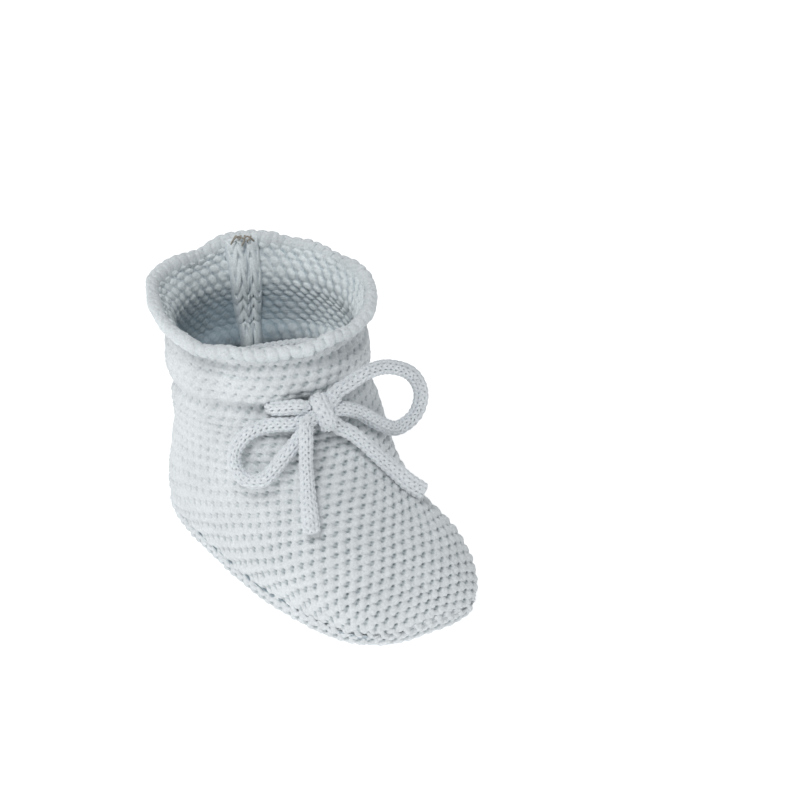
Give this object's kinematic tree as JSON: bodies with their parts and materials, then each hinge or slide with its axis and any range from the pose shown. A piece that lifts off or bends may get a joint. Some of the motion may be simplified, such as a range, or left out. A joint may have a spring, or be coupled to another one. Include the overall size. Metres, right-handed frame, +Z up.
{
  "type": "baby bootie",
  "caption": "Soft knitted baby bootie with a sewn-on knitted sole, a rolled top edge and an ankle drawn in by a knitted cord tied in a bow.",
  "frame": {"origin": "on the ground, under the middle of the bootie's length and width", "axes": "+Z up, the toe points to -Y and the heel to +Y, X runs across the foot"},
  "size_m": [0.068, 0.1134, 0.087],
  "materials": {
    "foot_knit": "matte garter-stitch cotton knit",
    "cuff_knit": "matte garter-stitch cotton knit",
    "edge_knit": "matte cast-off edge",
    "sole_knit": "matte garter-stitch cotton knit",
    "seam_yarn": "matte cotton yarn",
    "seam_knit": "matte knitted seam allowance",
    "cord_knit": "matte knitted tube cord",
    "thread": "matte sewing thread"
  },
  "bodies": {
    "foot": {"sole": "sole_knit", "sole_seam": "seam_yarn", "foot_upper": "foot_knit", "heel_seam": "seam_knit", "ankle_drawstring": "cord_knit", "bow_knot": "cord_knit"},
    "cuff": {"ankle_cuff": "cuff_knit", "cast_off_edge": "edge_knit", "cuff_seam": "seam_knit", "seam_thread": "thread"},
    "loop_left": {"bow_loop_left": "cord_knit"},
    "loop_right": {"bow_loop_right": "cord_knit"},
    "end_left": {"cord_end_left": "cord_knit"},
    "end_right": {"cord_end_right": "cord_knit"}
  },
  "joints": [
    {"name": "ankle_opens", "type": "hinge", "parent": "foot", "child": "cuff", "pos_m": [0, 0.0205, 0.06], "axis": [-1, 0, 0], "range_deg": [0, 10], "stiffness_Nm_per_rad": 0.01},
    {"name": "loop_left_lifts", "type": "hinge", "parent": "foot", "child": "loop_left", "pos_m": [-0.005, -0.0165, 0.0645], "axis": [-0.341, 0.7222, 0.6018], "range_deg": [0, 20]},
    {"name": "loop_right_swings", "type": "hinge", "parent": "foot", "child": "loop_right", "pos_m": [-0.005, -0.0165, 0.0645], "axis": [-0.0995, 0, -0.995], "range_deg": [0, 30]},
    {"name": "end_left_lifts", "type": "hinge", "parent": "foot", "child": "end_left", "pos_m": [-0.005, -0.0165, 0.0645], "axis": [-0.842, 0.526, 0.12], "range_deg": [0, 60]},
    {"name": "end_right_lifts", "type": "hinge", "parent": "foot", "child": "end_right", "pos_m": [-0.005, -0.0165, 0.0645], "axis": [-0.7716, -0.5307, -0.3508], "range_deg": [0, 60]}
  ]
}
